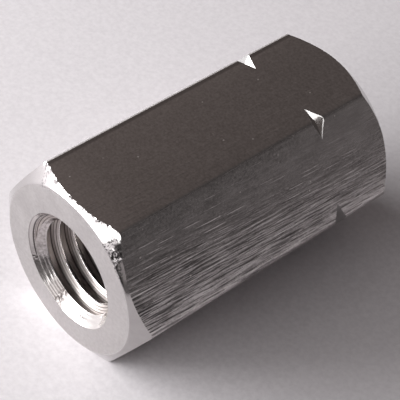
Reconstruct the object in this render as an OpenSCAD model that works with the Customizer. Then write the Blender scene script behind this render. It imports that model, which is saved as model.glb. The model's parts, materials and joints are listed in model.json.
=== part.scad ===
// Hexagonal coupling nut for metric rod, lying on one of its flats.
// The nut is turned from hexagon bar: both ends are faced and chamfered, the bore is drilled right
// through and countersunk at both mouths, and a V-groove crosses the corners near one end.
// The origin is the centre of the flat that the nut lies on. The thread axis runs along Y,
// and the grooved end is at +Y.

/* [Hexagon bar] */
// Width across two opposite flats
across_flats = 17; // [15:0.1:24]
// Length of the nut along its thread axis
nut_length = 30; // [20:0.5:60]
// Radius on the six long corners of the drawn bar
corner_radius = 0.5; // [0.2:0.05:1]

/* [Turned ends] */
// How far inside the flats the plain end's round face stops
plain_face_inset = 0.425; // [0.1:0.025:0.8]
// Slope of the plain end's chamfer, measured from its face
plain_chamfer_angle = 35; // [20:1:45]
// How far inside the flats the grooved end's round face stops
grooved_face_inset = 0.1; // [0.05:0.025:0.8]
// Slope of the grooved end's chamfer, measured from its face
grooved_chamfer_angle = 45; // [20:1:50]

/* [Thread] */
// Nominal diameter of the thread
thread_d = 10; // [8:0.5:11]
// Pitch of the thread, which sets the diameter that its hole is drilled to
thread_pitch = 1.5; // [0.75:0.25:1.75]
// How much wider than the thread the countersink opens
countersink_extra = 0.8; // [0.2:0.1:1.4]
// Full angle of the countersink
countersink_angle = 90; // [60:5:120]

/* [Corner groove] */
// Distance from the grooved end to the middle of the groove
groove_from_end = 6.9; // [4:0.1:9]
// Depth of the groove below the rounded corners
groove_depth = 0.68; // [0.3:0.02:1]
// Full angle between the walls of the groove
groove_angle = 90; // [60:5:110]

/* [Hidden] */
$fn = 96;

// Room by which a cutting shape stands clear of the surface that it leaves through
cut_room = 1;

flat_r = across_flats / 2;
half_length = nut_length / 2;

// The corner arcs are centred on a smaller hexagon, and each is drawn with a few short chords
arc_centre_r = (flat_r - corner_radius) / cos(30);
arc_steps = 6;
corner_r = arc_centre_r + corner_radius;

blank_r = corner_r + cut_room;
plain_face_r = flat_r - plain_face_inset;
plain_chamfer_run = (blank_r - plain_face_r) * tan(plain_chamfer_angle);
grooved_face_r = flat_r - grooved_face_inset;
grooved_chamfer_run = (blank_r - grooved_face_r) * tan(grooved_chamfer_angle);

// A metric internal thread leaves a hole 5/8 of its sharp V's height smaller all round
sharp_v_height = thread_pitch * sqrt(3) / 2;
bore_r = thread_d / 2 - sharp_v_height * 5 / 8;
rim_r = (thread_d + countersink_extra) / 2;
countersink_depth = (rim_r - bore_r) / tan(countersink_angle / 2);
countersink_out_r = rim_r + cut_room * tan(countersink_angle / 2);

groove_y = half_length - groove_from_end;
groove_bottom_r = corner_r - groove_depth;
groove_half_w = (blank_r - groove_bottom_r) * tan(groove_angle / 2);

// Section of the drawn bar: six flats joined by six small arcs
module hexagon_section() {
  polygon([
    for (corner = [0:5]) for (step = [0:arc_steps])
      let (turn = 60 * corner, slant = turn + 60 * (step / arc_steps - 0.5))
        arc_centre_r * [cos(turn), sin(turn)] + corner_radius * [cos(slant), sin(slant)]
  ]);
}

// Piece of bar cut to length
module hexagon_bar() {
  linear_extrude(nut_length, center = true)
    hexagon_section();
}

// Round envelope that facing and chamfering both ends leaves
module turned_envelope() {
  rotate_extrude()
    polygon([
      [0, -half_length],
      [plain_face_r, -half_length],
      [blank_r, plain_chamfer_run - half_length],
      [blank_r, half_length - grooved_chamfer_run],
      [grooved_face_r, half_length],
      [0, half_length]
    ]);
}

// Hole for the thread, with a countersink at each mouth
module thread_hole() {
  rotate_extrude()
    polygon([
      [0, -half_length - cut_room],
      [countersink_out_r, -half_length - cut_room],
      [bore_r, countersink_depth - half_length],
      [bore_r, half_length - countersink_depth],
      [countersink_out_r, half_length + cut_room],
      [0, half_length + cut_room]
    ]);
}

// V-shaped ring that notches only the corners, because its bottom stays outside the flats
module corner_groove() {
  translate([0, 0, groove_y])
    rotate_extrude()
      polygon([
        [groove_bottom_r, 0],
        [blank_r, groove_half_w],
        [blank_r, -groove_half_w]
      ]);
}

module coupling_nut() {
  color("silver")
    translate([0, 0, flat_r])
      rotate([-90, 0, 0])
        difference() {
          intersection() {
            hexagon_bar();
            turned_envelope();
          }
          thread_hole();
          corner_groove();
        }
}

coupling_nut();
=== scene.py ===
# %% [markdown]
# # A coupling nut in bright steel
# A coupling nut joins two threaded rods. This one is turned from drawn hexagon bar: both ends are faced
# and chamfered, the hole is drilled, countersunk and tapped, and a V-groove across the corners marks one
# end. The lesson builds it the way a workshop would, by cutting a bar with turning tools, a tap and a
# groove tool.

import json
import math

import bpy
from mathutils import Matrix, Vector


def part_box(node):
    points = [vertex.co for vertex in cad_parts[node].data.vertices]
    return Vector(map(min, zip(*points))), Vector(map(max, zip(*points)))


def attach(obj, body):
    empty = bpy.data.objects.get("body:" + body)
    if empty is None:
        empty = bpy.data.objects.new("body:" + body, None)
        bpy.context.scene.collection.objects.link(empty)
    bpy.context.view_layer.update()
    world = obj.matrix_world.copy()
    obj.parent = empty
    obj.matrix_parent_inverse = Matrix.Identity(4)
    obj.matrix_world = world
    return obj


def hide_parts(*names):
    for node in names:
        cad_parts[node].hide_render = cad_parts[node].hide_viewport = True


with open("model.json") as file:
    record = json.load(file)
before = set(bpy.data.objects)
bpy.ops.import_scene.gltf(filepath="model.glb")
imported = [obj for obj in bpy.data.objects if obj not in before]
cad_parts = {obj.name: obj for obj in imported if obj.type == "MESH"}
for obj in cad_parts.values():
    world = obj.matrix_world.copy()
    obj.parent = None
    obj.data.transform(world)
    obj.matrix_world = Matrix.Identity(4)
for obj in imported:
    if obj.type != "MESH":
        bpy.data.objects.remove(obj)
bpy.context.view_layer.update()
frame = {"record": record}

# %% [markdown]
# ## Sizes
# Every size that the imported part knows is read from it, so the dressed nut can't drift away from the
# solid. The nut is only 30 mm long, and Blender's modelling tools merge points that lie a fraction of a
# millimetre apart. So it is modelled at one unit to the millimetre round its own axis, and shrunk at the
# end.

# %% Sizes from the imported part
MM = 0.001
low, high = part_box("coupling_nut")
nut_length = (high.y - low.y) / MM
flat_r = (high.z - low.z) / MM / 2
corner_r = (high.x - low.x) / MM / 2
near_y = -nut_length / 2
far_y = nut_length / 2

mount = next(m for m in frame["record"]["mounts"] if m["name"] == "plain_end_thread")
crest_r = mount["dims"]["r_mm"]
countersink_depth = (nut_length - mount["dims"]["length_mm"]) / 2
rim_r = crest_r + countersink_depth

sharp_r = flat_r / math.cos(math.radians(30))
corner_round = (sharp_r - corner_r) / (1 / math.cos(math.radians(30)) - 1)
print(f"bar {2 * flat_r:.2f} mm across flats, corners rounded {corner_round:.2f} mm")
print(f"thread crests {2 * crest_r:.2f} mm across, countersink rim {2 * rim_r:.2f} mm across")

# %% [markdown]
# ## Hand tools for the lesson
# An operator acts on everything that is selected, so each step first makes one object the only selected
# one. Edges, faces and points are then picked in code by where they lie.


# %% Selecting helpers
def work_on(obj):
    """Leaves edit mode and makes obj the one selected and active object."""
    if bpy.context.object and bpy.context.object.mode != "OBJECT":
        bpy.ops.object.mode_set(mode="OBJECT")
    bpy.ops.object.select_all(action="DESELECT")
    if obj:
        obj.select_set(True)
        bpy.context.view_layer.objects.active = obj


def pick(obj, kind, wanted):
    """Opens obj in edit mode with only the points, edges or faces that wanted(item) accepts selected."""
    work_on(obj)
    bpy.ops.object.mode_set(mode="EDIT")
    bpy.ops.mesh.select_mode(type=kind)
    bpy.ops.mesh.select_all(action="DESELECT")
    bpy.ops.object.mode_set(mode="OBJECT")
    mesh = obj.data
    items = {"VERT": mesh.vertices, "EDGE": mesh.edges, "FACE": mesh.polygons}[kind]
    count = 0
    for item in items:
        item.select = wanted(item)
        count += item.select
    bpy.ops.object.mode_set(mode="EDIT")
    return count


# %% [markdown]
# ## Steel finishes
# Bright steel has no colour of its own to speak of. What tells one surface from another is how it was
# cut: the drawn flats carry long fine scratches, the faced end has rings from the lathe, and the chamfer
# is smooth. Those marks are shared effects, so each is a node group that any finish can use with its own
# values.


# %% Node helpers
def add_node(tree, kind, **settings):
    """Adds a shader node and sets its properties and input values by name."""
    node = tree.nodes.new(kind)
    for name, value in settings.items():
        if hasattr(node, name):
            setattr(node, name, value)
        else:
            node.inputs[name.replace("_", " ")].default_value = value
    return node


def join(tree, *pairs):
    """Links (output, input) socket pairs."""
    for start, end in pairs:
        tree.links.new(start, end)


def new_group(name, inputs, outputs):
    """Starts a node group with float inputs (with their defaults) and float outputs."""
    group = bpy.data.node_groups.new(name, "ShaderNodeTree")
    for label, value in inputs.items():
        socket = group.interface.new_socket(label, in_out="INPUT", socket_type="NodeSocketFloat")
        socket.default_value = value
    for label in outputs:
        group.interface.new_socket(label, in_out="OUTPUT", socket_type="NodeSocketFloat")
    return group, group.nodes.new("NodeGroupInput"), group.nodes.new("NodeGroupOutput")


def millimetres(tree):
    """Object coordinates in millimetres from the thread's axis."""
    where = add_node(tree, "ShaderNodeTexCoord")
    to_axis = add_node(tree, "ShaderNodeMapping", Location=(0, 0, -flat_r), Scale=(1 / MM,) * 3)
    join(tree, (where.outputs["Object"], to_axis.inputs["Vector"]))
    return to_axis.outputs["Vector"]


# %% [markdown]
# ### Drawing marks
# The bar was pulled through a die and then brushed, so its marks run along it with a slow twist of a few
# degrees. The fine brushing is noise that is squeezed across the bar and stretched along it. The single
# scratches are the middles of cells that are stretched in the same way. Turning each point round the axis
# by an amount that grows with its place along the bar gives the twist.

# %% Group for the marks along the bar
twist_angle = 2.8
twist_per_mm = math.tan(math.radians(twist_angle)) / flat_r
stroke_border = 0.32
stroke_middle = 0.08

streaks, group_in, group_out = new_group(
    "drawing_marks", {"Across": 5.0, "Along": 0.3}, ["Brushing", "Scratches"]
)
place = millimetres(streaks)
parts = add_node(streaks, "ShaderNodeSeparateXYZ")
turn_by = add_node(streaks, "ShaderNodeMath", operation="MULTIPLY")
turn_by.inputs[1].default_value = -twist_per_mm
twist = add_node(streaks, "ShaderNodeVectorRotate", rotation_type="AXIS_ANGLE", Axis=(0, 1, 0))
squeeze = add_node(streaks, "ShaderNodeCombineXYZ")
scaled = add_node(streaks, "ShaderNodeVectorMath", operation="MULTIPLY")
fine = add_node(streaks, "ShaderNodeTexNoise", Scale=1.0, Detail=2.0, Roughness=0.5)
strokes = add_node(streaks, "ShaderNodeTexVoronoi", Scale=0.7)
scratch = add_node(streaks, "ShaderNodeMapRange", interpolation_type="SMOOTHSTEP")
scratch.inputs["From Min"].default_value = stroke_border
scratch.inputs["From Max"].default_value = stroke_middle
join(
    streaks,
    (place, parts.inputs["Vector"]),
    (parts.outputs["Y"], turn_by.inputs[0]),
    (turn_by.outputs["Value"], twist.inputs["Angle"]),
    (place, twist.inputs["Vector"]),
    (group_in.outputs["Across"], squeeze.inputs["X"]),
    (group_in.outputs["Along"], squeeze.inputs["Y"]),
    (group_in.outputs["Across"], squeeze.inputs["Z"]),
    (twist.outputs["Vector"], scaled.inputs[0]),
    (squeeze.outputs["Vector"], scaled.inputs[1]),
    (scaled.outputs["Vector"], fine.inputs["Vector"]),
    (scaled.outputs["Vector"], strokes.inputs["Vector"]),
    (strokes.outputs["Distance"], scratch.inputs["Value"]),
    (fine.outputs["Fac"], group_out.inputs["Brushing"]),
    (scratch.outputs["Result"], group_out.inputs["Scratches"]),
)
print("group", streaks.name, "twists", twist_angle, "degrees")

# %% [markdown]
# ### Turning rings
# A lathe tool leaves rings that are true circles round the axis. Noise of the radius alone draws their
# height. A wave of the radius, pushed about by that noise, gives separate lines at uneven distances.

# %% Group for the rings of the lathe
line_wander = 3.0
line_start = 0.3
line_full = 0.8

rings, group_in, group_out = new_group("turning_rings", {"Rings per mm": 8.0}, ["Height", "Lines"])
place = millimetres(rings)
parts = add_node(rings, "ShaderNodeSeparateXYZ")
flat_place = add_node(rings, "ShaderNodeCombineXYZ")
radius = add_node(rings, "ShaderNodeVectorMath", operation="LENGTH")
spread = add_node(rings, "ShaderNodeMath", operation="MULTIPLY")
ring_noise = add_node(rings, "ShaderNodeTexNoise", noise_dimensions="1D", Scale=1.0, Detail=2.0)
whole_turns = add_node(rings, "ShaderNodeMath", operation="MULTIPLY")
whole_turns.inputs[1].default_value = math.tau
uneven = add_node(rings, "ShaderNodeMath", operation="MULTIPLY_ADD")
uneven.inputs[1].default_value = line_wander
wave = add_node(rings, "ShaderNodeMath", operation="SINE")
thin = add_node(rings, "ShaderNodeMapRange", interpolation_type="SMOOTHSTEP")
thin.inputs["From Min"].default_value = line_start
thin.inputs["From Max"].default_value = line_full
join(
    rings,
    (place, parts.inputs["Vector"]),
    (parts.outputs["X"], flat_place.inputs["X"]),
    (parts.outputs["Z"], flat_place.inputs["Z"]),
    (flat_place.outputs["Vector"], radius.inputs[0]),
    (radius.outputs["Value"], spread.inputs[0]),
    (group_in.outputs["Rings per mm"], spread.inputs[1]),
    (spread.outputs["Value"], ring_noise.inputs["W"]),
    (ring_noise.outputs["Fac"], group_out.inputs["Height"]),
    (spread.outputs["Value"], whole_turns.inputs[0]),
    (ring_noise.outputs["Fac"], uneven.inputs[0]),
    (whole_turns.outputs["Value"], uneven.inputs[2]),
    (uneven.outputs["Value"], wave.inputs[0]),
    (wave.outputs["Value"], thin.inputs["Value"]),
    (thin.outputs["Result"], group_out.inputs["Lines"]),
)
print("group", rings.name)

# %% [markdown]
# ### Grain
# Under every mark the metal has a fine, even grain, and here and there a cloud or a speck of dust. A
# speck is the small neighbourhood of a point scattered in space, so only the points near the surface
# show.

# %% Group for the grain of the metal
speck_border = 0.075
speck_middle = 0.04

grain, group_in, group_out = new_group("metal_grain", {"Per mm": 6.0}, ["Height", "Cloud", "Specks"])
place = millimetres(grain)
scaled = add_node(grain, "ShaderNodeVectorMath", operation="SCALE")
pebbles = add_node(grain, "ShaderNodeTexNoise", Scale=1.0, Detail=3.0, Roughness=0.6)
clouds = add_node(grain, "ShaderNodeTexNoise", Scale=0.55, Detail=3.0, Roughness=0.6)
scatter = add_node(grain, "ShaderNodeTexVoronoi", Scale=0.7)
near_point = add_node(grain, "ShaderNodeMapRange")
near_point.inputs["From Min"].default_value = speck_border
near_point.inputs["From Max"].default_value = speck_middle
join(
    grain,
    (place, scaled.inputs[0]),
    (group_in.outputs["Per mm"], scaled.inputs["Scale"]),
    (scaled.outputs["Vector"], pebbles.inputs["Vector"]),
    (place, clouds.inputs["Vector"]),
    (place, scatter.inputs["Vector"]),
    (scatter.outputs["Distance"], near_point.inputs["Value"]),
    (pebbles.outputs["Fac"], group_out.inputs["Height"]),
    (clouds.outputs["Fac"], group_out.inputs["Cloud"]),
    (near_point.outputs["Result"], group_out.inputs["Specks"]),
)
print("group", grain.name)

# %% [markdown]
# ### Places round the axis
# Wear and damage sit at certain places: the crests of the thread, one corner, one side of a rim. This
# group tells a finish where it is. Radius and Angle are its place round the axis, and Along its place on
# it. Across is how far it lies from the middle line of its flat, and Below how far it lies under that
# flat. Near Angle is the angle on the near half only: on the far half it is out of reach, so damage that
# uses it stays away there.

# %% Group for places round the axis
full_turn = 360
flat_span = 60
out_of_reach = 1000

around, group_in, group_out = new_group(
    "around_axis", {}, ["Radius", "Angle", "Near Angle", "Across", "Below", "Along"]
)
place = millimetres(around)
parts = add_node(around, "ShaderNodeSeparateXYZ")
flat_place = add_node(around, "ShaderNodeCombineXYZ")
radius = add_node(around, "ShaderNodeVectorMath", operation="LENGTH")
turn = add_node(around, "ShaderNodeMath", operation="ARCTAN2")
degrees = add_node(around, "ShaderNodeMath", operation="DEGREES")
whole = add_node(around, "ShaderNodeMath", operation="FLOORED_MODULO")
whole.inputs[1].default_value = full_turn
far_half = add_node(around, "ShaderNodeMath", operation="GREATER_THAN")
far_half.inputs[1].default_value = 0
moved_off = add_node(around, "ShaderNodeMath", operation="MULTIPLY_ADD")
moved_off.inputs[1].default_value = out_of_reach
sixth = add_node(around, "ShaderNodeMath", operation="FLOORED_MODULO")
sixth.inputs[1].default_value = flat_span
off_middle = add_node(around, "ShaderNodeMath", operation="SUBTRACT")
off_middle.inputs[1].default_value = flat_span / 2
in_radians = add_node(around, "ShaderNodeMath", operation="RADIANS")
sine = add_node(around, "ShaderNodeMath", operation="SINE")
across = add_node(around, "ShaderNodeMath", operation="MULTIPLY")
cosine = add_node(around, "ShaderNodeMath", operation="COSINE")
outward = add_node(around, "ShaderNodeMath", operation="MULTIPLY")
below = add_node(around, "ShaderNodeMath", operation="SUBTRACT")
below.inputs[0].default_value = flat_r
join(
    around,
    (place, parts.inputs["Vector"]),
    (parts.outputs["X"], flat_place.inputs["X"]),
    (parts.outputs["Z"], flat_place.inputs["Z"]),
    (flat_place.outputs["Vector"], radius.inputs[0]),
    (parts.outputs["Z"], turn.inputs[0]),
    (parts.outputs["X"], turn.inputs[1]),
    (turn.outputs["Value"], degrees.inputs[0]),
    (degrees.outputs["Value"], whole.inputs[0]),
    (degrees.outputs["Value"], sixth.inputs[0]),
    (sixth.outputs["Value"], off_middle.inputs[0]),
    (off_middle.outputs["Value"], in_radians.inputs[0]),
    (in_radians.outputs["Value"], sine.inputs[0]),
    (sine.outputs["Value"], across.inputs[0]),
    (radius.outputs["Value"], across.inputs[1]),
    (radius.outputs["Value"], group_out.inputs["Radius"]),
    (whole.outputs["Value"], group_out.inputs["Angle"]),
    (across.outputs["Value"], group_out.inputs["Across"]),
    (in_radians.outputs["Value"], cosine.inputs[0]),
    (cosine.outputs["Value"], outward.inputs[0]),
    (radius.outputs["Value"], outward.inputs[1]),
    (outward.outputs["Value"], below.inputs[1]),
    (below.outputs["Value"], group_out.inputs["Below"]),
    (parts.outputs["Y"], group_out.inputs["Along"]),
    (parts.outputs["Y"], far_half.inputs[0]),
    (far_half.outputs["Value"], moved_off.inputs[0]),
    (whole.outputs["Value"], moved_off.inputs[2]),
    (moved_off.outputs["Value"], group_out.inputs["Near Angle"]),
)
print("group", around.name)

# %% [markdown]
# ### From marks to finishes
# Each finish is a metal whose colour and roughness change a little with the marks, and whose surface is
# lifted by them through a bump. The bump distance is the real height of the marks, a few hundredths of a
# millimetre at most. Marks are mixed with masks, which are 1 where a mark shows and 0 elsewhere.


# %% Finish helpers
def new_steel(name):
    """A plain metal material to add marks to."""
    steel = bpy.data.materials.new(name)
    steel.use_nodes = True
    tree = steel.node_tree
    shader = tree.nodes["Principled BSDF"]
    shader.inputs["Metallic"].default_value = 1.0
    return steel, tree, shader


def use_group(tree, group, **values):
    """Places a shared effect in a material with its own values."""
    node = tree.nodes.new("ShaderNodeGroup")
    node.node_tree = group
    for label, value in values.items():
        node.inputs[label.replace("_", " ")].default_value = value
    return node


def between(tree, value, low_value, high_value, start=0.3, stop=0.7):
    """Maps a mark's value to a range of roughness or height."""
    node = add_node(tree, "ShaderNodeMapRange")
    node.inputs["From Min"].default_value = start
    node.inputs["From Max"].default_value = stop
    node.inputs["To Min"].default_value = low_value
    node.inputs["To Max"].default_value = high_value
    tree.links.new(value, node.inputs["Value"])
    return node.outputs["Result"]


def two_tones(tree, value, dark, light, start=0.3, stop=0.7):
    """Maps a mark's value to a colour between two tones of steel."""
    node = add_node(tree, "ShaderNodeValToRGB")
    node.color_ramp.elements[0].position = start
    node.color_ramp.elements[0].color = (*dark, 1)
    node.color_ramp.elements[1].position = stop
    node.color_ramp.elements[1].color = (*light, 1)
    tree.links.new(value, node.inputs["Fac"])
    return node.outputs["Color"]


def sums(tree, operation, first, second):
    """Joins two values, or a value and a number, by one sum."""
    node = add_node(tree, "ShaderNodeMath", operation=operation)
    for socket, item in zip(node.inputs, (first, second)):
        if isinstance(item, (int, float)):
            socket.default_value = item
        else:
            tree.links.new(item, socket)
    return node.outputs["Value"]


def both(tree, first, *others):
    """Multiplies masks: what is left lies in all of them."""
    for other in others:
        first = sums(tree, "MULTIPLY", first, other)
    return first


def either(tree, first, *others):
    """Takes the largest of some masks: what is left lies in any of them."""
    for other in others:
        first = sums(tree, "MAXIMUM", first, other)
    return first


def within(tree, value, start, stop, soft):
    """1 where a value lies between start and stop, with soft ends."""
    rise = between(tree, value, 0, 1, start - soft, start + soft)
    fall = between(tree, value, 1, 0, stop - soft, stop + soft)
    return sums(tree, "MULTIPLY", rise, fall)


def blend(tree, share, under, over):
    """Lays one colour over another where share is 1. A colour is a socket or three numbers."""
    node = add_node(tree, "ShaderNodeMix", data_type="RGBA")
    tree.links.new(share, node.inputs["Factor"])
    for socket, item in zip((node.inputs[6], node.inputs[7]), (under, over)):
        if isinstance(item, tuple):
            socket.default_value = (*item, 1)
        else:
            tree.links.new(item, socket)
    return node.outputs[2]


def lift(tree, shader, *marks):
    """Raises the surface by (height in mm, mark) pairs, each on top of the one before."""
    normal = None
    for height_mm, mark in marks:
        bump = add_node(tree, "ShaderNodeBump", Strength=1.0, Distance=abs(height_mm) * MM)
        bump.invert = height_mm < 0
        tree.links.new(mark, bump.inputs["Height"])
        if normal:
            tree.links.new(normal, bump.inputs["Normal"])
        normal = bump.outputs["Normal"]
    tree.links.new(normal, shader.inputs["Normal"])


# %% [markdown]
# ### The drawn flats
# The upper flat is quiet. The others are grainy and blotchy, with dark and light lines that are densest
# low down and towards the near end. Lower down they are also darkened a little, short of the bottom edge,
# and that darkening is painted shade. In all finishes the numbers are degrees round the axis, millimetres
# from it or along it, tones of steel, and shares from 0 to 1.

# %% Drawn flats: grain and lines
drawn_flats, tree, shader = new_steel("drawn_flats")
where = use_group(tree, around)
angle, across, below, along = (where.outputs[name] for name in ("Angle", "Across", "Below", "Along"))
marks = use_group(tree, streaks, Across=4.6, Along=0.3)
brushing = marks.outputs["Brushing"]
metal = use_group(tree, grain, Per_mm=5.0)
height, cloud, specks = (metal.outputs[name] for name in ("Height", "Cloud", "Specks"))

grainy = two_tones(tree, height, (0.34, 0.319, 0.314), (0.74, 0.703, 0.695))
far_up = both(tree, between(tree, along, 0, 0.75, 2, 11), between(tree, across, 0, 1, 0.5, 2.5))
stiller = blend(tree, far_up, grainy, (0.56, 0.53, 0.524))
blotchy = blend(tree, between(tree, cloud, 0, 0.3, 0.42, 0.62), stiller, (0.82, 0.78, 0.77))

slant = between(tree, along, 0, 2.2, -8, 10)
lower_half = between(tree, sums(tree, "ADD", across, slant), 0.95, 0.12, -1, 2.6)
near_half = between(tree, along, 1, 0.75, -10, 10)
brushed_share = both(tree, lower_half, near_half)
low_lines = both(tree, between(tree, brushing, 0.8, 0, 0.36, 0.48), brushed_share)
high_lines = both(tree, between(tree, brushing, 0, 0.6, 0.54, 0.66), brushed_share)
dark_lines = blend(tree, low_lines, blotchy, (0.12, 0.113, 0.112))
lined = blend(tree, high_lines, dark_lines, (0.95, 0.91, 0.905))
above_edge = between(tree, across, 0, 1, -4.55, -4.1)
# Painted shade: lower down, the flats other than the upper one are darkened a little, short of the bottom
# edge.
low_down = both(tree, between(tree, across, 0, 0.1, 2.5, -1), near_half, above_edge)
lined_and_shaded = blend(tree, low_down, lined, (0.1, 0.095, 0.094))
print("lines on", drawn_flats.name)

# %% [markdown]
# The upper flat is paler in a strip beside the near chamfer and has a dark line along both of its long
# borders.
# Its left corner is rubbed bright, because corners touch everything that a nut is thrown together with.

# %% Drawn flats: upper flat, borders and dust
upper_flat = within(tree, angle, 60, 120, 0.6)
quiet = two_tones(tree, height, (0.435, 0.403, 0.39), (0.635, 0.6, 0.588))
paler_near_end = blend(tree, between(tree, along, 0.25, 0, -13.8, -11), quiet, (0.85, 0.79, 0.77))
base_layer = blend(tree, upper_flat, lined_and_shaded, paler_near_end)
left_border = both(tree, upper_flat, between(tree, across, 0, 0.45, 4.3, 4.45))
right_corner = within(tree, angle, 59.4, 61.2, 0.6)
right_border = both(tree, right_corner, between(tree, along, 0.2, 0.42, -10, 8))
bordered = blend(tree, either(tree, left_border, right_border), base_layer, (0.1, 0.09, 0.087))
left_corner = within(tree, angle, 115, 128, 1)
rubbed = both(tree, left_corner, between(tree, below, 0, 1, 0.012, 0.03))
edged = blend(tree, rubbed, bordered, (0.95, 0.93, 0.92))
dusted = blend(tree, specks, edged, (0.75, 0.71, 0.69))
join(tree, (dusted, shader.inputs["Base Color"]))
print("borders on", drawn_flats.name)

# %% [markdown]
# The flats of drawn bar are a little crowned, so one that mirrors the edge of the table shows the dark
# room near its upper corner and the paler paper near its lower one. A bump can bend the mirror picture in
# this way without moving the surface: a wide dome for the crown and a steep one for the rolled borders.

# %% Drawn flats: roughness and height
half_flat = flat_r * math.tan(math.radians(30))
crown_power = 2
border_power = 7

brushed = between(tree, brushing, 0.12, 0.2)
dust_and_shade = sums(tree, "ADD", brushed, sums(tree, "MULTIPLY", specks, 0.3))
matt_corner = sums(tree, "MULTIPLY", rubbed, 0.42)
join(tree, (either(tree, dust_and_shade, matt_corner), shader.inputs["Roughness"]))
rough_share = both(tree, brushed_share, between(tree, upper_flat, 1, 0.4, 0, 1))
off_middle = sums(tree, "ABSOLUTE", sums(tree, "DIVIDE", across, half_flat), 0)
lift(
    tree,
    shader,
    (0.034, both(tree, brushing, rough_share)),
    (0.042, both(tree, marks.outputs["Scratches"], rough_share)),
    (0.005, height),
    (-0.05, sums(tree, "POWER", off_middle, crown_power)),
    (-0.05, sums(tree, "POWER", off_middle, border_power)),
)
print("finish", drawn_flats.name)

# %% [markdown]
# ### The faced end and the chamfers
# The end was faced on a lathe, with a slow feed that leaves it even and matt. Faint rings and grain are
# enough, because a coarser pattern would look like the rings of a tree.

# %% Finish of the faced end
faced_end, tree, shader = new_steel("faced_end")
lathe = use_group(tree, rings, Rings_per_mm=7.0)
metal = use_group(tree, grain, Per_mm=3.0)
height = metal.outputs["Height"]
colour = two_tones(tree, height, (0.475, 0.455, 0.45), (0.565, 0.545, 0.54))
join(tree, (colour, shader.inputs["Base Color"]))
join(tree, (between(tree, metal.outputs["Cloud"], 0.36, 0.46), shader.inputs["Roughness"]))
lift(tree, shader, (0.003, lathe.outputs["Height"]), (0.004, height))
print("finish", faced_end.name)

# %% [markdown]
# The chamfer is smoother and a little darker than the face, with a bright ring where the two meet. Its
# left side is painted lighter, which is painted light. Both ends share this finish, so all damage and
# painted light in it ask for the near angle.

# %% Chamfers: plain metal and painted light
turned_chamfer, tree, shader = new_steel("turned_chamfer")
where = use_group(tree, around)
near_angle, radius, below = (where.outputs[name] for name in ("Near Angle", "Radius", "Below"))
metal = use_group(tree, grain, Per_mm=5.0)
height = metal.outputs["Height"]

dull = two_tones(tree, metal.outputs["Cloud"], (0.42, 0.402, 0.398), (0.475, 0.456, 0.452))
# Painted light: the left side of the near chamfer is made lighter.
painted_light_side = within(tree, near_angle, 118, 260, 8)
edge_ring = within(tree, radius, 7.85, 8.08, 0.07)
base_layer = blend(tree, either(tree, painted_light_side, edge_ring), dull, (0.67, 0.65, 0.645))
print("clean part of", turned_chamfer.name)

# %% [markdown]
# The tool tore the right upper corner of the near chamfer. Going down from its broken tip there are pits
# that hold dirt, then a speckled stretch between a dark seam and a light fringe. Fine cracks follow the
# torn border along the upper flat, and a few light pits end it at both corners.

# %% Chamfers: tears, pits and dirt
speckles = two_tones(tree, height, (0.15, 0.143, 0.141), (0.95, 0.92, 0.91), 0.42, 0.58)
speckled = blend(tree, within(tree, near_angle, 38, 49, 2), base_layer, speckles)
fringe = both(tree, within(tree, near_angle, 36, 48, 2), within(tree, below, -0.1, 0.2, 0.06))
fringed = blend(tree, fringe, speckled, (0.97, 0.94, 0.93))

seam_reach = between(tree, within(tree, near_angle, 34, 54, 2), 0, 0.7, 0, 1)
seam = both(tree, seam_reach, within(tree, radius, 8.1, 8.26, 0.04))
torn_corner = both(tree, within(tree, near_angle, 48, 55.5, 1.5), between(tree, radius, 0, 1, 8.12, 8.25))
pits = both(tree, torn_corner, between(tree, height, 1, 0, 0.5, 0.58))
torn_edge = both(tree, within(tree, near_angle, 58, 121, 3), within(tree, below, -0.1, 0.3, 0.08))
cracks = both(tree, torn_edge, between(tree, height, 1, 0, 0.34, 0.37))
broken_tip = both(tree, within(tree, near_angle, 48, 57, 0.8), between(tree, radius, 0, 1, 8.86, 8.98))
right_pits = both(tree, within(tree, near_angle, 54, 62, 1.5), between(tree, height, 1, 0, 0.4, 0.46))
left_pits = both(tree, within(tree, near_angle, 115.5, 120, 1), between(tree, height, 0.4, 0, 0.43, 0.5))
dirt_and_shade = either(tree, pits, cracks, broken_tip, right_pits, left_pits, seam)
join(tree, (blend(tree, dirt_and_shade, fringed, (0.03, 0.028, 0.0275)), shader.inputs["Base Color"]))
join(tree, (between(tree, height, 0.1, 0.15), shader.inputs["Roughness"]))
lift(tree, shader, (0.002, height))
print("finish", turned_chamfer.name)

# %% [markdown]
# ### The corner groove
# The groove is smooth from its tool, and its rim is rubbed at the upper right corner. There its walls are
# painted lighter, which is painted light. At the upper left corner they are painted dark and made matt,
# and the dark is painted shade. Only the corners are cut, so the angle is enough to tell the notches
# apart.

# %% Finish of the corner groove
groove_cut, tree, shader = new_steel("groove_cut")
where = use_group(tree, around)
angle = where.outputs["Angle"]
metal = use_group(tree, grain, Per_mm=4.0)
base_layer = two_tones(tree, metal.outputs["Cloud"], (0.27, 0.26, 0.255), (0.35, 0.34, 0.335))
right_corner = within(tree, angle, 48, 72, 1)
left_corner = within(tree, angle, 119.6, 140, 0.3)
rubbed = both(tree, between(tree, where.outputs["Below"], 1, 0, 0.05, 0.09), right_corner)
# Painted light: the walls at the upper right corner are lighter.
painted_lighter_walls = blend(tree, right_corner, base_layer, (0.52, 0.5, 0.49))
# Painted shade: the walls at the upper left corner are darker.
dust_and_shade = blend(tree, left_corner, painted_lighter_walls, (0.16, 0.155, 0.155))
join(tree, (blend(tree, rubbed, dust_and_shade, (0.85, 0.83, 0.82)), shader.inputs["Base Color"]))
matt = either(tree, rubbed, left_corner)
join(tree, (between(tree, matt, 0.1, 0.5, 0, 1), shader.inputs["Roughness"]))
print("finish", groove_cut.name)

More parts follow.
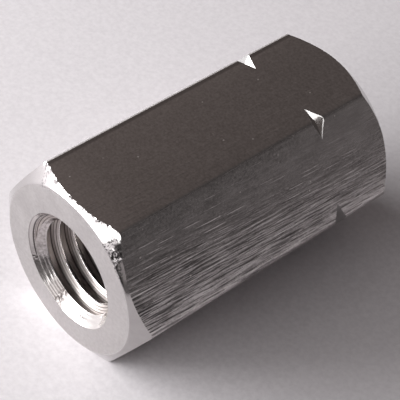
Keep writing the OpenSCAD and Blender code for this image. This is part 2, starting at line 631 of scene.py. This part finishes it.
# %% [markdown]
# ### The hole
# On the left side of the near countersink the cone is painted with a lighter lip and fine dark lines
# below it and at the rim: painted light and painted shade of a small step that is not modelled. The inner
# edge is worn. That edge is where the cone meets the thread, so its radius grows slowly with the angle,
# and a mask that follows it needs a sum of the two.

# %% Countersinks: painted lip and shadow lines, and worn edge
countersunk, tree, shader = new_steel("countersunk")
where = use_group(tree, around)
near_angle, radius = (where.outputs[name] for name in ("Near Angle", "Radius"))
lathe = use_group(tree, rings, Rings_per_mm=5.5)
metal = use_group(tree, grain, Per_mm=4.0)
height = metal.outputs["Height"]

# Painted light and shade: a lighter lip, and dark lines below it and at the rim, as a small step would
# show.
line_reach = within(tree, near_angle, 105, 213, 8)
lip = both(tree, line_reach, between(tree, radius, 0, 1, rim_r - 0.27, rim_r - 0.24))
inner_line = within(tree, radius, rim_r - 0.35, rim_r - 0.27, 0.02)
rim_line = sums(tree, "MULTIPLY", within(tree, radius, rim_r - 0.06, rim_r + 0.1, 0.02), 0.45)
painted_shadow_lines = both(tree, line_reach, either(tree, inner_line, rim_line))

edge_growth = 0.00264
edge_r_at_left = 4.252
edge_r = sums(
    tree, "ADD", sums(tree, "MULTIPLY", near_angle, edge_growth), edge_r_at_left - 180 * edge_growth
)
from_edge = sums(tree, "SUBTRACT", radius, edge_r)
worn_edge = both(tree, within(tree, near_angle, 140, 232, 8), between(tree, from_edge, 1, 0, 0.06, 0.12))
print("lip and edge of", countersunk.name)

# %% [markdown]
# The countersink was cut by a chattering tool. Further down come a patch of painted shade and one of
# painted light, chatter rings, chips full of dirt and the fresh metal where the rim is broken out. Light
# tones are laid first, and dirt and painted shade last.

# %% Countersinks: chatter, chips and break
base_layer = two_tones(tree, height, (0.3, 0.279, 0.273), (0.58, 0.543, 0.533))
# Painted light: a lighter patch low on the left of the cone.
lit_reach = between(tree, within(tree, near_angle, 205, 240, 6), 0, 0.5, 0, 1)
lit = blend(tree, lit_reach, base_layer, (0.82, 0.785, 0.775))
broken = blend(tree, within(tree, near_angle, 296, 352, 5), lit, (0.93, 0.91, 0.88))
brighter = blend(tree, either(tree, lip, worn_edge), broken, (0.52, 0.495, 0.487))

chatter_lines = between(tree, lathe.outputs["Lines"], 0.68, 0.95, 0, 1)
chatter = both(tree, within(tree, near_angle, 235, 259, 6), chatter_lines)
chips = both(tree, within(tree, near_angle, 250, 262, 4), between(tree, height, 1, 0, 0.5, 0.56))
# Painted shade: a darker patch on the left of the cone.
shaded = both(tree, within(tree, near_angle, 196, 222, 6), between(tree, height, 0.36, 0.1))
dirt_and_shade = either(tree, painted_shadow_lines, shaded, chips, chatter)
join(tree, (blend(tree, dirt_and_shade, brighter, (0.06, 0.052, 0.05)), shader.inputs["Base Color"]))
join(tree, (between(tree, lathe.outputs["Height"], 0.12, 0.2), shader.inputs["Roughness"]))
lift(tree, shader, (0.024, lathe.outputs["Height"]), (0.006, height))
print("finish", countersunk.name)

# %% [markdown]
# In the thread the flanks keep a brown film of oil with dark tool lines, and low down on the left they
# are darkened as painted shade. The crests are rubbed bright, and they are patchy low down on the left.

# %% Finish of the thread
cut_thread, tree, shader = new_steel("cut_thread")
where = use_group(tree, around)
lathe = use_group(tree, rings, Rings_per_mm=4.5)
metal = use_group(tree, grain, Per_mm=3.0)
height = metal.outputs["Height"]
film = two_tones(tree, metal.outputs["Cloud"], (0.45, 0.405, 0.388), (0.56, 0.515, 0.498))
marked = blend(tree, lathe.outputs["Lines"], film, (0.13, 0.115, 0.11))
low_side = within(tree, where.outputs["Near Angle"], 224, 266, 6)
# Painted shade: the flanks low down on the left are darkened.
shaded = blend(tree, sums(tree, "MULTIPLY", low_side, 0.6), marked, (0.1, 0.09, 0.087))
patchy = two_tones(tree, height, (0.25, 0.235, 0.23), (0.9, 0.87, 0.86), 0.42, 0.58)
crest = blend(tree, low_side, (0.95, 0.92, 0.91), patchy)
rubbed = between(tree, where.outputs["Radius"], 1, 0, crest_r + 0.02, crest_r + 0.05)
join(tree, (blend(tree, rubbed, shaded, crest), shader.inputs["Base Color"]))
join(tree, (between(tree, rubbed, 0.44, 0.12, 0, 1), shader.inputs["Roughness"]))
lift(tree, shader, (0.012, lathe.outputs["Height"]), (0.006, height))
print("finish", cut_thread.name)

# %% [markdown]
# ## The bar
# The nut starts as a length of hexagon bar: a cylinder of six sides, longer than the nut. Its long edges
# get the small rounding of the drawing die. Insetting the flats adds a thin frame inside each, so that
# smooth shading bends only there and the flat stays flat.

# %% Hexagon bar
spare = 4
flat_frame = 0.15
smallest_flat = 100

work_on(None)
bpy.ops.mesh.primitive_cylinder_add(
    vertices=6,
    radius=sharp_r,
    depth=nut_length + 2 * spare,
    rotation=(math.radians(90), math.radians(30), 0),
)
nut = bpy.context.object
nut.name = "coupling_nut_steel"
bpy.ops.object.transform_apply(location=False, rotation=True, scale=False)
nut.data.materials.append(drawn_flats)


def runs_along_bar(edge):
    """Whether an edge is one of the bar's long ones."""
    start, end = (nut.data.vertices[i].co for i in edge.vertices)
    return abs(end.y - start.y) > nut_length


pick(nut, "EDGE", runs_along_bar)
bpy.ops.mesh.bevel(
    offset_type="OFFSET",
    offset=corner_round * math.tan(math.radians(30)),
    segments=6,
    profile=0.5,
    affect="EDGES",
)
flats = pick(nut, "FACE", lambda face: face.area > smallest_flat and abs(face.normal.y) < 0.5)
bpy.ops.mesh.inset(thickness=flat_frame, depth=0, use_individual=True)
bpy.ops.object.mode_set(mode="OBJECT")
print("bar with", flats, "flats,", len(nut.data.polygons), "faces")

# %% [markdown]
# ## Turning tools
# A lathe shape is a line spun round the axis. The line is drawn point by point, as (radius, place along
# the axis), and a corner that a real tool would leave soft is replaced by a short arc.


# %% Lathe helpers
def rounded(corners, steps=4):
    """Turns (radius, along, fillet) corners into points, with an arc of steps pieces at each fillet."""
    points = []
    for i, (r, y, fillet) in enumerate(corners):
        corner = Vector((r, y))
        if not fillet:
            points.append(corner)
            continue
        to_last = (Vector(corners[i - 1][:2]) - corner).normalized()
        to_next = (Vector(corners[i + 1][:2]) - corner).normalized()
        half = to_last.angle(to_next) / 2
        centre = corner + (to_last + to_next).normalized() * fillet / math.sin(half)
        first = (corner + to_last * fillet / math.tan(half) - centre).normalized()
        last = (corner + to_next * fillet / math.tan(half) - centre).normalized()
        points += [centre + first.slerp(last, step / steps) * fillet for step in range(steps + 1)]
    return points


def draw_line(name, points):
    """Draws a line by pulling one point out of a plane and extruding it from place to place."""
    work_on(None)
    bpy.ops.mesh.primitive_plane_add(size=1)
    line = bpy.context.object
    line.name = name
    bpy.ops.object.mode_set(mode="EDIT")
    bpy.ops.mesh.select_mode(type="VERT")
    bpy.ops.mesh.merge(type="CENTER")
    bpy.ops.transform.translate(value=(points[0][0], points[0][1], 0))
    for before, after in zip(points, points[1:]):
        step = (after[0] - before[0], after[1] - before[1], 0)
        bpy.ops.mesh.extrude_region_move(TRANSFORM_OT_translate={"value": step})
    bpy.ops.object.mode_set(mode="OBJECT")
    return line


def close_up(obj):
    """Merges points that meet and turns all faces outwards."""
    work_on(obj)
    bpy.ops.object.mode_set(mode="EDIT")
    bpy.ops.mesh.select_all(action="SELECT")
    bpy.ops.mesh.remove_doubles(threshold=1e-4)
    bpy.ops.mesh.normals_make_consistent(inside=False)
    bpy.ops.object.mode_set(mode="OBJECT")


def spin_round(line, steps):
    """Spins a drawn line once round the thread axis."""
    work_on(line)
    bpy.ops.object.mode_set(mode="EDIT")
    bpy.ops.mesh.select_all(action="SELECT")
    bpy.ops.mesh.spin(steps=steps, angle=math.tau, center=(0, 0, 0), axis=(0, 1, 0))
    close_up(line)


def cut(tool, operation):
    """Cuts the nut with a tool, hands the tool's finish to the cut faces and puts the tool away."""
    work_on(nut)
    knife = nut.modifiers.new(tool.name, "BOOLEAN")
    knife.operation = operation
    knife.object = tool
    knife.solver = "MANIFOLD"
    knife.material_mode = "TRANSFER"
    bpy.ops.object.modifier_apply(modifier=knife.name)
    print(operation.lower(), tool.name, "leaves", len(nut.data.polygons), "faces")
    bpy.data.meshes.remove(tool.data)


# %% [markdown]
# ## Faced and chamfered ends
# Facing and chamfering leave everything inside one round envelope, so the bar is cut by keeping what it
# shares with a spun shape. Where the cone meets a flat the border curves like a bow, which is the mark of
# a turned hexagon. The near cone is divided finely, because the next step moves its points.

# %% Turned envelope
plain_face_inset = 0.425
plain_chamfer_angle = 35
grooved_face_inset = 0.1
grooved_chamfer_angle = 45
cut_room = 1
plain_face_r = flat_r - plain_face_inset
plain_slope = math.tan(math.radians(plain_chamfer_angle))
grooved_face_r = flat_r - grooved_face_inset
grooved_slope = math.tan(math.radians(grooved_chamfer_angle))
blank_r = corner_r + cut_room
plain_edge_round = 0.4
grooved_edge_round = 0.1
shortest_cone = 1
cone_cuts = 21
envelope_steps = 540
face_normal = 0.995

envelope = draw_line(
    "turned_envelope",
    rounded(
        [
            (0, near_y, 0),
            (plain_face_r, near_y, plain_edge_round),
            (blank_r, near_y + (blank_r - plain_face_r) * plain_slope, 0),
            (blank_r, far_y - (blank_r - grooved_face_r) * grooved_slope, 0),
            (grooved_face_r, far_y, grooved_edge_round),
            (0, far_y, 0),
        ]
    ),
)


def is_near_chamfer(edge):
    """Whether a drawn edge is the near cone's long one."""
    start, end = (envelope.data.vertices[i].co for i in edge.vertices)
    is_near = start.y < 0 and end.y < 0
    is_slanted = start.y != end.y and abs(end.x - start.x) > shortest_cone
    return is_near and is_slanted and max(start.x, end.x) > corner_r


pick(envelope, "EDGE", is_near_chamfer)
bpy.ops.mesh.subdivide(number_cuts=cone_cuts)
bpy.ops.object.mode_set(mode="OBJECT")
spin_round(envelope, envelope_steps)
envelope.data.materials.append(faced_end)
envelope.data.materials.append(turned_chamfer)
for face in envelope.data.polygons:
    face.material_index = 0 if abs(face.normal.y) > face_normal else 1
print("envelope has", len(envelope.data.polygons), "faces")

# %% [markdown]
# ## Torn border
# Damage like this could be carved by hand, but a Displace modifier does it from a pattern and can be
# tuned. It pushes points in and out before the cut, as far as a weight between 0 and 1 allows. A cloudy
# pattern makes rough places, and no pattern makes an even push.


# %% Roughening helpers
def degrees_round(place):
    """Angle of a place round the thread axis, from +X towards +Z."""
    return math.degrees(math.atan2(place.z, place.x)) % full_turn


def from_axis(place):
    """Distance of a place from the thread axis."""
    return math.hypot(place.x, place.z)


def distance_to_flats(place):
    """How far a place lies outside the nearest flat's plane."""
    nearest = flat_span / 2 + flat_span * math.floor(degrees_round(place) / flat_span)
    off = math.radians(degrees_round(place) - nearest)
    return from_axis(place) * math.cos(off) - flat_r


def roughen(obj, name, weight, grain_size, height_mm):
    """Pushes points in and out by a cloudy pattern, as far as weight(place) allows.
    Without a grain size all points go out alike, by half the height."""
    group = obj.vertex_groups.new(name=name)
    touched = 0
    for vertex in obj.data.vertices:
        share = weight(vertex.co)
        if share > 0:
            group.add([vertex.index], share, "REPLACE")
            touched += 1
    work_on(obj)
    push = obj.modifiers.new(name, "DISPLACE")
    if grain_size:
        push.texture = bpy.data.textures.new(name, "CLOUDS")
        push.texture.noise_scale = grain_size
        push.texture.noise_depth = 1
        push.texture_coords = "LOCAL"
    pattern = push.texture
    push.vertex_group = name
    push.strength = height_mm
    bpy.ops.object.modifier_apply(modifier=push.name)
    if pattern:
        bpy.data.textures.remove(pattern)
    print(name, "moves", touched, "points")


# %% [markdown]
# On the real nut the near chamfer's border is torn along the upper flat, the right upper corner is
# pitted, and the tip above the pits stands a little proud. Each place gets its own weight. The border is
# roughened twice, coarsely and then finely, because a tear has both big and small teeth.

# %% Torn border of the near chamfer
near_end_reach = near_y + 2
torn_from, torn_to = 66, 121
torn_width = 0.35
damaged_r = 8.15
pit_middle, pit_spread = 52, 8
tip_from, tip_to = 42, 66
tip_fade = 6
tip_rise = 1.2


def torn_border(place):
    """Weight along the border between the near chamfer and the upper flat."""
    if place.y > near_end_reach or not torn_from < degrees_round(place) < torn_to:
        return 0
    return max(0, 1 - abs(distance_to_flats(place)) / torn_width)


def pitted_corner(place):
    """Weight on the chamfer below its right upper corner."""
    if place.y > near_end_reach or from_axis(place) < damaged_r:
        return 0
    return max(0, 1 - abs(degrees_round(place) - pit_middle) / pit_spread)


def proud_tip(place):
    """Weight that grows outwards along the right upper corner."""
    if place.y > near_end_reach:
        return 0
    from_ends = min(degrees_round(place) - tip_from, tip_to - degrees_round(place))
    along_border = from_ends / tip_fade
    across_border = (from_axis(place) - damaged_r) / tip_rise
    return max(0, min(1, along_border)) * max(0, min(1, across_border))


roughen(envelope, "torn_border", torn_border, 0.4, 0.3)
roughen(envelope, "torn_fringe", torn_border, 0.12, 0.15)
roughen(envelope, "pitted_corner", pitted_corner, 0.22, 0.09)
roughen(envelope, "proud_tip", proud_tip, None, 0.26)
cut(envelope, "INTERSECT")

# %% [markdown]
# ## Corner groove
# A V-shaped tool is run round the bar, so deep that it reaches the corners and stays clear of the flats.

# %% Groove across the corners
groove_from_end = 6.9
groove_depth = 0.68
groove_steps = 240
groove_y = far_y - groove_from_end
groove_bottom_r = corner_r - groove_depth
groove_reach = blank_r - groove_bottom_r
groove = draw_line(
    "corner_groove",
    [
        (groove_bottom_r, groove_y),
        (blank_r, groove_y + groove_reach),
        (blank_r, groove_y - groove_reach),
        (groove_bottom_r, groove_y),
    ],
)
spin_round(groove, groove_steps)
groove.data.materials.append(groove_cut)
cut(groove, "DIFFERENCE")

# %% [markdown]
# ## Tapping
# A tap cuts the thread, so the cutter here is a tap: one pitch of the thread's outline, carried round and
# along by a Screw modifier, then trimmed square at both ends with bisect, which also closes them. The
# groove marks a left-hand thread at the far end, so the far tap advances the other way. Both stop short
# of the middle.

# %% Taps
thread_pitch = 1.5
thread_r = crest_r + thread_pitch * math.sqrt(3) / 2 * 5 / 8
crest_half = 0.07
crest_round = 0.06
root_round = 0.04
root_half = thread_pitch / 2 - crest_half - (thread_r - crest_r) * math.tan(math.radians(30))
middle_half = 1.5
round_steps = 96


def make_tap(name, hand, crest_y, start_y, end_y):
    """A threaded rod between two places: hand is 1 for right-hand, -1 for left-hand.
    crest_y is where a crest of the nut's thread crosses the +X side."""
    turns = math.ceil((end_y - start_y) / thread_pitch) + 4
    first_y = crest_y + thread_pitch * (math.floor((start_y - crest_y) / thread_pitch) - 2)
    outline = rounded(
        [
            (crest_r, first_y, 0),
            (crest_r, first_y + crest_half, crest_round),
            (thread_r, first_y + thread_pitch / 2 - root_half, root_round),
            (thread_r, first_y + thread_pitch / 2 + root_half, root_round),
            (crest_r, first_y + thread_pitch - crest_half, crest_round),
            (crest_r, first_y + thread_pitch, 0),
        ],
        steps=2,
    )
    tap = draw_line(name, outline)
    work_on(tap)
    screw = tap.modifiers.new("thread", "SCREW")
    screw.axis = "Y"
    screw.steps = round_steps
    screw.render_steps = round_steps
    screw.iterations = turns
    screw.angle = math.tau * hand
    screw.screw_offset = thread_pitch
    screw.use_merge_vertices = True
    screw.merge_threshold = 1e-4
    bpy.ops.object.modifier_apply(modifier=screw.name)
    close_up(tap)
    bpy.ops.object.mode_set(mode="EDIT")
    for place, direction in ((start_y, -1), (end_y, 1)):
        bpy.ops.mesh.select_all(action="SELECT")
        bpy.ops.mesh.bisect(
            plane_co=(0, place, 0),
            plane_no=(0, direction, 0),
            use_fill=True,
            clear_outer=True,
        )
    close_up(tap)
    tap.data.materials.append(cut_thread)
    print(name, "has", len(tap.data.polygons), "faces")
    return tap


tap_room = 0.61
first_crest = 1.76
near_tap = make_tap("near_tap", 1, near_y + first_crest, near_y - tap_room, -middle_half)
far_tap = make_tap("far_tap", -1, far_y - first_crest, middle_half, far_y + tap_room)

# %% [markdown]
# ## Drilling and countersinking
# Between the two threads the hole stays plain, so a drill takes out what the taps leave there. At each
# mouth a countersink leaves a straight cone. Its tool could be two rings of points, but it gets close
# rings near the rim, which give the damage something to move.

# %% Drill and countersinks
drill_room = 0.06
drill_overlap = 0.4
mouth_room = 0.4
cone_steps = 360

drill = draw_line(
    "plain_stretch",
    [
        (0, -middle_half - drill_overlap),
        (crest_r + drill_room, -middle_half - drill_overlap),
        (crest_r + drill_room, middle_half + drill_overlap),
        (0, middle_half + drill_overlap),
    ],
)
spin_round(drill, round_steps)
drill.data.materials.append(cut_thread)


def make_countersink(name, mouth_y, inward):
    """A spun cone of 90 degrees that reaches a little out of the mouth."""
    ring_radii = (rim_r + mouth_room, 5.6, 5.5, rim_r, 5.3, 5.2, 5.1, 5.0, 4.8, 4.6, 4.4, 0)
    cone_line = [(r, mouth_y + inward * (rim_r - r)) for r in ring_radii]
    tool = draw_line(name, [(0, mouth_y - inward * mouth_room), *cone_line])
    spin_round(tool, cone_steps)
    tool.data.materials.append(countersunk)
    print(name, "has", len(tool.data.polygons), "faces")
    return tool


near_countersink = make_countersink("near_countersink", near_y, 1)
far_countersink = make_countersink("far_countersink", far_y, -1)

# %% [markdown]
# The near rim has two short chips on its left and is broken out along the bottom. Pushing the tool's
# points out makes it cut more there, so the same helper that tore the chamfer breaks the rim. Then all
# tools cut in turn.

# %% Damage of the near rim, and all cuts
lip_from, lip_to = 5.15, 5.65
chips_at = ((209, 5), (255, 6))
break_from, break_fade_in = 257, 9
break_to, break_fade_out = 352, 40
break_inner_r, break_rise = 4.7, 0.5


def chipped_lip(place):
    """Weight of short chips in the rim, each with its middle and spread in degrees."""
    if not lip_from < from_axis(place) < lip_to:
        return 0
    return max(0, *(1 - abs(degrees_round(place) - middle) / spread for middle, spread in chips_at))


def broken_rim(place):
    """Weight of the long break along the bottom, which fades out on the right and into the cone."""
    fading_in = (degrees_round(place) - break_from) / break_fade_in
    fading_out = (break_to - degrees_round(place)) / break_fade_out
    across_cone = (from_axis(place) - break_inner_r) / break_rise
    return max(0, min(1, fading_in, fading_out, across_cone))


roughen(near_countersink, "chipped_lip", chipped_lip, 0.14, 0.14)
roughen(near_countersink, "broken_rim", broken_rim, None, 0.26)
for tool in (near_tap, far_tap, drill, near_countersink, far_countersink):
    cut(tool, "DIFFERENCE")

# %% [markdown]
# ## Finishing the mesh
# The cuts leave points that almost meet. They are merged, the normals turned outwards, and faces that
# meet at a shallow angle share their shading. Then the nut is raised to lie on its flat and shrunk to
# metres.

# %% Tidy mesh, real size and place
merge_gap = 2e-4
sliver = 1e-4
smooth_below = math.radians(28)

work_on(nut)
bpy.ops.object.mode_set(mode="EDIT")
bpy.ops.mesh.select_all(action="SELECT")
bpy.ops.mesh.remove_doubles(threshold=merge_gap)
bpy.ops.mesh.dissolve_degenerate(threshold=sliver)
bpy.ops.mesh.normals_make_consistent(inside=False)
bpy.ops.object.mode_set(mode="OBJECT")
bpy.ops.object.shade_smooth_by_angle(angle=smooth_below)
bpy.ops.transform.translate(value=(0, 0, flat_r))
bpy.ops.transform.resize(value=(MM,) * 3, center_override=(0, 0, 0))
bpy.ops.object.transform_apply(location=True, rotation=True, scale=True)
nut.data.calc_loop_triangles()
print("finished nut has", len(nut.data.loop_triangles), "triangles")

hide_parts("coupling_nut")
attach(nut, "root")

# %% [markdown]
# ## Floor, light and camera
# The nut lies on plain pale paper, a hair below it so that the two surfaces don't fight.

# %% Floor
floor_size = 1.2
floor_gap = 0.02 * MM

work_on(None)
bpy.ops.mesh.primitive_plane_add(size=floor_size, location=(0, 0, -floor_gap))
floor = bpy.context.object
floor.name = "paper_floor"
paper = bpy.data.materials.new("pale_paper")
paper.use_nodes = True
tree = paper.node_tree
shader = tree.nodes["Principled BSDF"]
shader.inputs["Roughness"].default_value = 0.9
shader.inputs["Specular IOR Level"].default_value = 0.1
metal = use_group(tree, grain, Per_mm=2.2)
colour = two_tones(tree, metal.outputs["Height"], (0.755, 0.72, 0.745), (0.845, 0.81, 0.835))
join(tree, (colour, shader.inputs["Base Color"]))
floor.data.materials.append(paper)
print("floor", floor.name)

# %% [markdown]
# Two soft windows stand low in front. The wide one at the left lights the paper, the chamfer and the
# countersink. The smaller one shows in the thread. The flats look away from both into a dim room.

# %% Light
arm_length = 0.4


def toward(azimuth, elevation):
    """Direction from the nut, with the azimuth counted from the front towards the right."""
    turn_by = math.radians(azimuth)
    lift_by = math.radians(elevation)
    return Vector(
        (math.sin(turn_by) * math.cos(lift_by), -math.cos(turn_by) * math.cos(lift_by), math.sin(lift_by))
    )


def soft_panel(name, direction, width, height, power, lean=0):
    """An area light that faces the nut from arm's length, leaning by an angle in its own plane."""
    work_on(None)
    bpy.ops.object.light_add(type="AREA", location=direction * arm_length)
    panel = bpy.context.object
    panel.name = name
    panel.data.shape = "RECTANGLE"
    panel.data.size = width
    panel.data.size_y = height
    panel.data.energy = power
    panel.rotation_mode = "QUATERNION"
    leaning = Matrix.Rotation(math.radians(lean), 4, "Z").to_quaternion()
    panel.rotation_quaternion = direction.to_track_quat("Z", "Y") @ leaning
    return panel


soft_panel("soft_window", toward(-50, 17.25), 0.373, 0.226, 3.72, lean=-7)
soft_panel("side_window", toward(-6.5, 20.5), 0.268, 0.268, 0.86)
print("lights", [light.name for light in bpy.data.lights])

# %% [markdown]
# A dark card stands low at the front right. Only mirror-like reflections see it: it darkens the right
# part of the chamfer and of the countersink, the way the dark side of a room would.

# %% Dark card
card_size = (14 * MM, 15 * MM, 1)
card_turn = 16
card_distance = 34 * MM
card_middle = Vector((7, -14.8, 7.5)) * MM

work_on(None)
bpy.ops.mesh.primitive_plane_add(size=1)
card = bpy.context.object
card.name = "dark_card"
bpy.ops.transform.resize(value=card_size)
bpy.ops.object.transform_apply(location=False, rotation=False, scale=True)
card.rotation_euler = (math.radians(90), 0, math.radians(card_turn))
card.location = card_middle + toward(card_turn, 0) * card_distance
bpy.ops.object.transform_apply(location=True, rotation=True, scale=True)
card.visible_camera = False
card.visible_diffuse = False
card.visible_shadow = False
card_grey = bpy.data.materials.new("card_grey")
card_grey.use_nodes = True
shader = card_grey.node_tree.nodes["Principled BSDF"]
shader.inputs["Base Color"].default_value = (0.36, 0.35, 0.345, 1)
shader.inputs["Roughness"].default_value = 0.9
card.data.materials.append(card_grey)
print("card", card.name)

# %% [markdown]
# The room is what the flats mirror, so its walls set their tones. The left wall warms the upper flat and
# grows lighter towards the left. The right wall greys the brushed flat and grows lighter towards the
# back. A paler stretch at the front fills the faced end. The walls give the paper less light than they
# show to the metal.

# %% Room
paper_share = 0.78

room = bpy.data.worlds.new("dim_room")
room.use_nodes = True
tree = room.node_tree
background = tree.nodes["Background"]
direction = add_node(tree, "ShaderNodeTexCoord").outputs["Generated"]


def facing(axis):
    """How far a direction in the room points along an axis, from -1 to 1."""
    node = add_node(tree, "ShaderNodeVectorMath", operation="DOT_PRODUCT")
    node.inputs[1].default_value = axis
    join(tree, (direction, node.inputs[0]))
    return node.outputs["Value"]


to_right = facing((0.87, 0.5, 0))
left_share = between(tree, to_right, 1, 0, -0.22, -0.1)
left_wall = two_tones(tree, left_share, (0.12, 0.105, 0.101), (0.158, 0.137, 0.131), 0, 1)
back_share = between(tree, facing((0, 1, 0)), 0, 1, 0.45, 0.62)
right_wall = two_tones(tree, back_share, (0.102, 0.0964, 0.0964), (0.142, 0.131, 0.13), 0, 1)
walls = blend(tree, between(tree, to_right, 0, 1, 0, 0.4), left_wall, right_wall)
front = between(tree, facing((0.48, -0.84, -0.25)), 0, 1, 0.72, 0.95)
join(tree, (blend(tree, front, walls, (0.25, 0.24, 0.24)), background.inputs["Color"]))
ray = add_node(tree, "ShaderNodeLightPath")
strength = between(tree, ray.outputs["Is Diffuse Ray"], 1, paper_share, 0, 1)
join(tree, (strength, background.inputs["Strength"]))
bpy.context.scene.world = room
bpy.context.scene.view_settings.view_transform = "Standard"
print("room", room.name)

# %% [markdown]
# The camera's place was found by fitting the nut's own sizes to the photograph: its long edges, the round
# end face and the rim of the hole.

# %% Camera
view_elevation = math.radians(47.0119)
view_azimuth = math.radians(42.2124)
view_roll = math.radians(8.8033)
view_target = Vector((0.1864, -0.1250, 7.9451)) * MM
view_distance = 144.2866 * MM
view_lens = 145.798

work_on(None)
bpy.ops.object.camera_add()
camera = bpy.context.object
camera.data.lens = view_lens
camera.data.sensor_width = 36
camera.data.clip_start = 5 * MM
turned = (
    Matrix.Rotation(view_azimuth, 4, "Z")
    @ Matrix.Rotation(math.pi / 2 - view_elevation, 4, "X")
    @ Matrix.Rotation(view_roll, 4, "Z")
)
back = turned.to_3x3() @ Vector((0, 0, 1))
camera.matrix_world = Matrix.Translation(view_target + back * view_distance) @ turned
bpy.context.scene.camera = camera
print("camera at", [round(c / MM, 1) for c in camera.matrix_world.translation], "mm")
